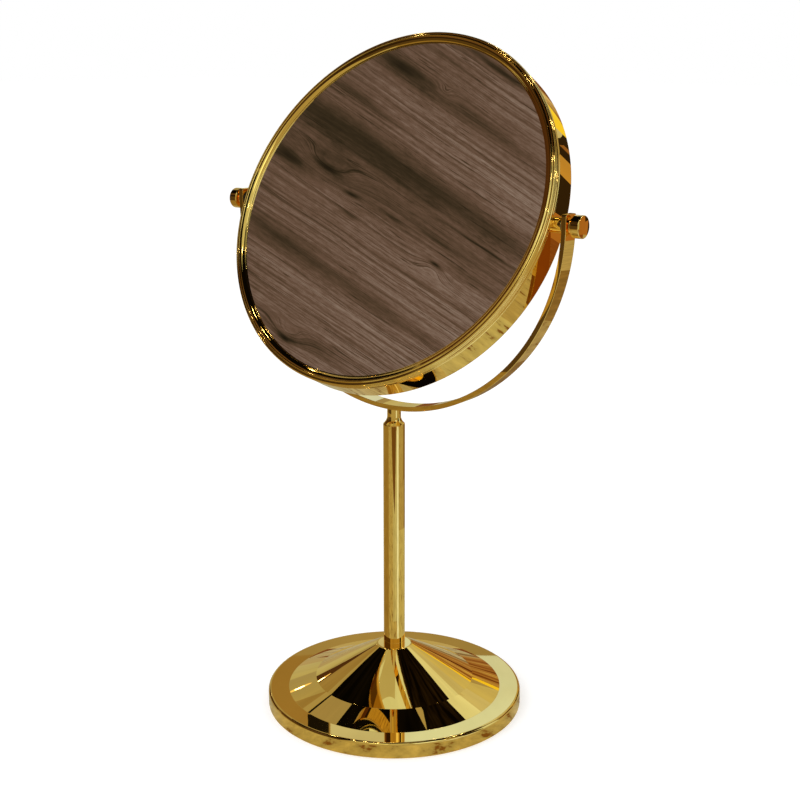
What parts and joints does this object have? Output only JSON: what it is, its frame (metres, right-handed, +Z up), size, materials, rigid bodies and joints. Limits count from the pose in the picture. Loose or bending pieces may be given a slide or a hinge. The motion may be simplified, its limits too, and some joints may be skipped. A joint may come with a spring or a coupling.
{
  "type": "table mirror",
  "caption": "Round gold table mirror with a moulded bezel, tilting between clamp knobs in a half-circle strip yoke, on a column with a weighted stepped base.",
  "frame": {"origin": "middle of the pad's underside, on the table", "axes": "+Z up along the column, X along the head's tilt pivot, the front mirror faces -Y and leans back"},
  "size_m": [0.2382, 0.15, 0.3859],
  "materials": {
    "gold_plate": "polished",
    "mirror_glass": "polished",
    "ballast_iron": "matte",
    "pad_rubber": "matte",
    "zinc_steel": "satin",
    "black_nylon": "satin",
    "backing_board": "matte"
  },
  "bodies": {
    "stand": {"base_pad": "pad_rubber", "base_weight": "ballast_iron", "base_cover": "gold_plate", "base_bolt": "zinc_steel", "base_washer": "zinc_steel", "column_tube": "gold_plate", "foot_plug": "zinc_steel", "neck_bush": "black_nylon"},
    "yoke": {"yoke_strip": "gold_plate", "neck_stub": "gold_plate", "neck_spring": "zinc_steel", "neck_clip": "zinc_steel", "ear_bushes": "black_nylon"},
    "head": {"drum_shell": "gold_plate", "front_bezel": "gold_plate", "front_mirror": "mirror_glass", "front_backing": "backing_board", "mirror_spacer": "backing_board", "rear_mirror": "mirror_glass", "rear_gasket": "pad_rubber", "pivot_boss_left": "gold_plate", "pivot_boss_right": "gold_plate", "pivot_plate_left": "zinc_steel", "pivot_plate_right": "zinc_steel"},
    "knob_left": {"knob_left": "gold_plate", "stud_left": "zinc_steel", "spring_washer_left": "gold_plate"},
    "knob_right": {"knob_right": "gold_plate", "stud_right": "zinc_steel", "spring_washer_right": "gold_plate"}
  },
  "joints": [
    {"name": "yoke_swivel", "type": "hinge", "parent": "stand", "child": "yoke", "pos_m": [0, 0, 0.17], "axis": [0, 0, 1], "continuous": true},
    {"name": "head_tilt", "type": "hinge", "parent": "yoke", "child": "head", "pos_m": [0, 0, 0.2907], "axis": [1, 0, 0], "continuous": true},
    {"name": "knob_left_turn", "type": "hinge", "parent": "head", "child": "knob_left", "pos_m": [-0.115, 0, 0.2907], "axis": [-1, 0, 0], "range_deg": [0, 180]},
    {"name": "knob_right_turn", "type": "hinge", "parent": "head", "child": "knob_right", "pos_m": [0.115, 0, 0.2907], "axis": [1, 0, 0], "range_deg": [0, 180]}
  ]
}
